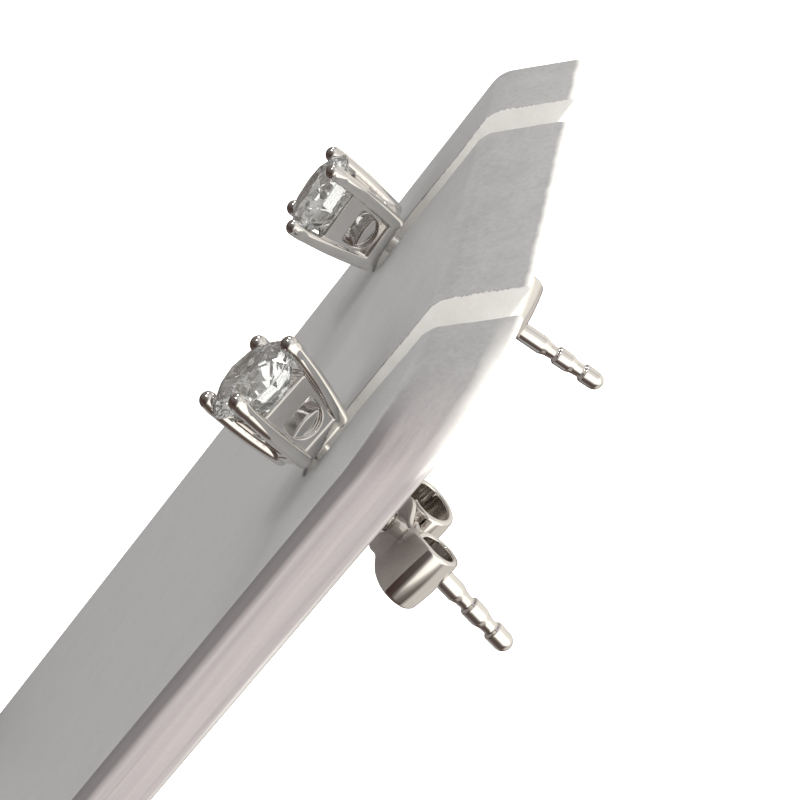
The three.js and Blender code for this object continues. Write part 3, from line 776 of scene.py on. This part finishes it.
def area(name, position, target, size, power, colour=(1, 1, 1)):
    data = bpy.data.lights.new(name, "AREA")
    data.shape = "RECTANGLE"
    data.size, data.size_y = size
    data.energy = power
    data.color = colour
    o = bpy.data.objects.new(name, data)
    bpy.context.scene.collection.objects.link(o)
    p = Vector(position)
    o.location = p
    o.rotation_euler = (Vector(target) - p).to_track_quat("-Z", "Y").to_euler()
    return o


world = bpy.data.worlds.new("studio")
bpy.context.scene.world = world
world.use_nodes = True
wt = world.node_tree
background = next(n for n in wt.nodes if n.type == "BACKGROUND")
background.inputs["Strength"].default_value = 1.0


def world_node(kind, *inputs, **values):
    n = wt.nodes.new("ShaderNode" + kind)
    for k, v in values.items():
        setattr(n, k, v)
    for i, v in enumerate(inputs):
        if v is None:
            continue
        if hasattr(v, "is_output") and v.is_output:
            wt.links.new(v, n.inputs[i])
        else:
            n.inputs[i].default_value = v
    return n


def world_curve(value, stops, low, high):
    """piecewise linear factor of an angle in degrees"""
    r = world_node("MapRange", value, float(low), float(high), 0.0, 1.0)
    n = wt.nodes.new("ShaderNodeValToRGB")
    e = n.color_ramp.elements
    while len(e) < len(stops):
        e.new(0.5)
    for item, (pos, v) in zip(e, stops):
        item.position = (pos - low) / (high - low)
        item.color = (v, v, v, 1)
    wt.links.new(r.outputs[0], n.inputs[0])
    return n.outputs[0]


# the room as the metal sees it: a broad bright wall of soft light behind and to the right, the rest dim and warm
direction = world_node("TexCoord").outputs["Generated"]
xyz = world_node("SeparateXYZ", direction)
azimuth = world_node("Math", world_node("Math", xyz.outputs[1], xyz.outputs[0], operation="ARCTAN2").outputs[0],
                     57.29578, operation="MULTIPLY").outputs[0]
elevation = world_node("Math", world_node("Math", xyz.outputs[2], operation="ARCSINE").outputs[0],
                       57.29578, operation="MULTIPLY").outputs[0]
around = world_curve(azimuth, [(-180, 0.42), (-165, 0.10), (-40, 0.0), (-16, 0.02), (-6, 0.22), (2, 0.80), (16, 1.0), (24, 1.0),
                               (84, 1.0), (98, 0.66), (150, 0.60), (180, 0.42)], -180, 180)
up = world_curve(elevation, [(-90, 0.0), (-40, 0.0), (-24, 0.08), (-15, 0.30), (-8, 0.92), (2, 1.0), (42, 1.0), (52, 0.50),
                             (66, 0.34), (90, 0.20)], -90, 90)
amount = world_node("Math", around, up, operation="MULTIPLY").outputs[0]
# a pale surface low down behind the stand
low_around = world_curve(azimuth, [(-180, 0.0), (44, 0.0), (66, 0.44), (138, 0.44), (164, 0.0), (180, 0.0)], -180, 180)
low_up = world_curve(elevation, [(-90, 0.0), (-64, 0.0), (-52, 0.9), (-34, 1.0), (-14, 1.0), (-6, 0.0), (90, 0.0)], -90, 90)
amount = world_node("Math", amount, world_node("Math", low_around, low_up, operation="MULTIPLY").outputs[0], operation="MAXIMUM").outputs[0]
dim = wt.nodes.new("ShaderNodeValToRGB")
for item, (pos, col) in zip([dim.color_ramp.elements[0], dim.color_ramp.elements[1], dim.color_ramp.elements.new(0.46),
                             dim.color_ramp.elements.new(0.72)],
                            [(0.0, (0.19, 0.15, 0.13)), (1.0, (0.42, 0.41, 0.395)), (0.46, (0.055, 0.032, 0.028)), (0.72, (0.17, 0.15, 0.14))]):
    item.position = pos
    item.color = (*col, 1)
wt.links.new(world_node("MapRange", elevation, -90.0, 90.0, 0.0, 1.0).outputs[0], dim.inputs[0])
room = world_node("Mix", data_type="RGBA")
wt.links.new(amount, room.inputs[0])
wt.links.new(dim.outputs[0], room.inputs[6])
room.inputs[7].default_value = (1.58, 1.52, 1.40, 1)
wt.links.new(room.outputs[2], background.inputs["Color"])

area("strip_front", (-0.02, -0.55, 0.62), (0, 0, 0.04), (0.10, 0.10), 0.9, (1, 0.98, 0.94))
area("strip_left", (-0.45, -0.30, 0.50), (0, 0, 0.04), (0.10, 0.16), 0.9, (1, 0.98, 0.94))

# soft overhead light for the floor and the stand; the metal and the stones see only the room
top_light = area("soft_top", (-0.05, -0.12, 0.9), (-0.02, 0, 0.0), (1.3, 1.3), 7.0)
for thing in (top_light, floor):
    thing.visible_glossy = False
top_light.visible_transmission = False

# camera fitted to the photograph, given in the board's frame
FOCAL = 2560.1386
R = np.array([[-0.1510172900533803, 0.8207110032320032, 0.5510237991946006],
              [0.5118664062262342, 0.5417914144993098, -0.6666744673016032],
              [-0.8456870344766866, 0.18137120043919747, -0.5019142629665664]])
t = np.array([-1.620815556541655, -2.4438569544280373, 102.18731077800744])
cam_data = bpy.data.cameras.new("camera")
cam_data.sensor_fit = "HORIZONTAL"
cam_data.sensor_width = 36.0
cam_data.lens = FOCAL / 800 * 36.0
cam_data.clip_start = 0.005
cam_data.clip_end = 10.0
camera = bpy.data.objects.new("camera", cam_data)
bpy.context.scene.collection.objects.link(camera)
camera.matrix_world = to_matrix(BOARD @ frame_of(R[0], -R[1], -R[2], -R.T @ t))
bpy.context.scene.camera = camera

scene = bpy.context.scene
scene.view_settings.view_transform = "Standard"
scene.view_settings.look = "None"
scene.cycles.max_bounces = 24
scene.cycles.transmission_bounces = 24
scene.cycles.glossy_bounces = 12
scene.cycles.diffuse_bounces = 4
